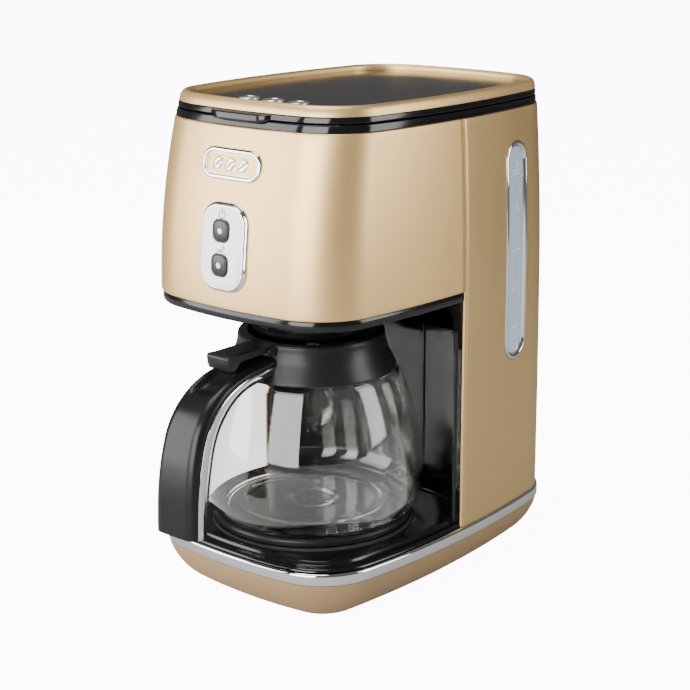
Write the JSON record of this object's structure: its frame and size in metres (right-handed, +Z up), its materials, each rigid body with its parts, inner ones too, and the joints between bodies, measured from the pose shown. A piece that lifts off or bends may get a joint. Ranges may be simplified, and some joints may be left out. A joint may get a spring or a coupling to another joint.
{
  "type": "drip coffee maker",
  "caption": "Drip coffee maker with a rounded upright housing, hinged lid, side water gauge and a glass jug with an arched handle on a warming plate",
  "frame": {"origin": "on the surface that the feet stand on, under the centre of the whole machine's box, jug docked", "axes": "+Z up, -Y towards the front where the jug goes in, +X towards the side with the water gauge"},
  "size_m": [0.18, 0.309, 0.33],
  "materials": {
    "champagne_metal": "satin metallic paint",
    "champagne_paint": "satin metallic paint, slightly darker",
    "chrome": "polished",
    "black_gloss": "gloss",
    "black_satin": "satin",
    "silver_plate": "pale satin",
    "button_grey": "satin",
    "lens_white": "milky",
    "window_blue": "tinted clear plastic",
    "clear_glass": "clear",
    "tank_clear": "clear plastic",
    "rubber": "matte",
    "silicone": "milky",
    "aluminium": "cast",
    "steel": "plain",
    "board_green": "lacquered",
    "mesh_gold": "fine mesh, gold tinted"
  },
  "bodies": {
    "machine": {"base_skirt": "champagne_paint", "front_shell": "champagne_metal", "rear_shell": "champagne_metal", "badge_plate": "champagne_metal", "chrome_band": "chrome", "badge_rim": "chrome", "panel_bezel": "chrome", "window_bezel": "chrome", "bay_tray": "black_gloss", "bay_liner": "black_gloss", "housing_trim": "black_gloss", "brew_chamber": "black_gloss", "top_deck": "black_gloss", "base_plate": "black_satin", "chassis_plate": "black_satin", "warming_plate": "black_satin", "outlet_nozzle": "black_satin", "filter_holder": "black_satin", "panel_plate": "silver_plate", "window_lens": "window_blue", "water_tank": "tank_clear", "cord_gland": "rubber", "plate_seal": "rubber", "foot_front_left": "rubber", "foot_front_right": "rubber", "foot_rear_left": "rubber", "foot_rear_right": "rubber", "inlet_hose": "silicone", "riser_hose": "silicone", "heater_tube": "aluminium", "base_screw_front_left": "steel", "base_screw_front_right": "steel", "base_screw_rear_left": "steel", "base_screw_rear_right": "steel", "heater_clamp": "steel", "thermostat": "steel", "valve_spring": "steel", "hinge_pin": "steel", "control_board": "board_green", "mesh_filter": "mesh_gold"},
    "lid": {"lid_rim": "black_gloss", "lid_frame": "champagne_metal", "lid_panel": "black_gloss", "lid_liner": "black_satin", "vent_eyelet_left": "chrome", "vent_eyelet_centre": "chrome", "vent_eyelet_right": "chrome"},
    "power_key": {"power_button": "button_grey", "power_lens": "lens_white"},
    "aroma_key": {"aroma_button": "button_grey", "aroma_lens": "lens_white"},
    "valve": {"drip_valve": "black_satin"},
    "jug": {"jug_glass": "clear_glass", "jug_band": "black_satin", "handle_outer": "black_gloss", "handle_trim": "chrome", "handle_inner": "black_gloss", "jug_lid": "black_satin", "jug_lid_pin": "steel"}
  },
  "joints": [
    {"name": "lid_hinge", "type": "hinge", "parent": "machine", "child": "lid", "pos_m": [0, 0.14775, 0.3194], "axis": [-1, 0, 0], "range_deg": [0, 95]},
    {"name": "power_press", "type": "slide", "parent": "machine", "child": "power_key", "axis": [0, 1, 0], "range_m": [0, 0.0012], "stiffness_N_per_m": 600},
    {"name": "aroma_press", "type": "slide", "parent": "machine", "child": "aroma_key", "axis": [0, 1, 0], "range_m": [0, 0.0012], "stiffness_N_per_m": 600},
    {"name": "valve_lift", "type": "slide", "parent": "machine", "child": "valve", "axis": [0, 0, 1], "range_m": [0, 0.004], "stiffness_N_per_m": 150, "deforming": ["valve_spring"]},
    {"name": "jug_dock", "type": "slide", "parent": "machine", "child": "jug", "axis": [0, -1, 0], "range_m": [0, 0.2]}
  ]
}
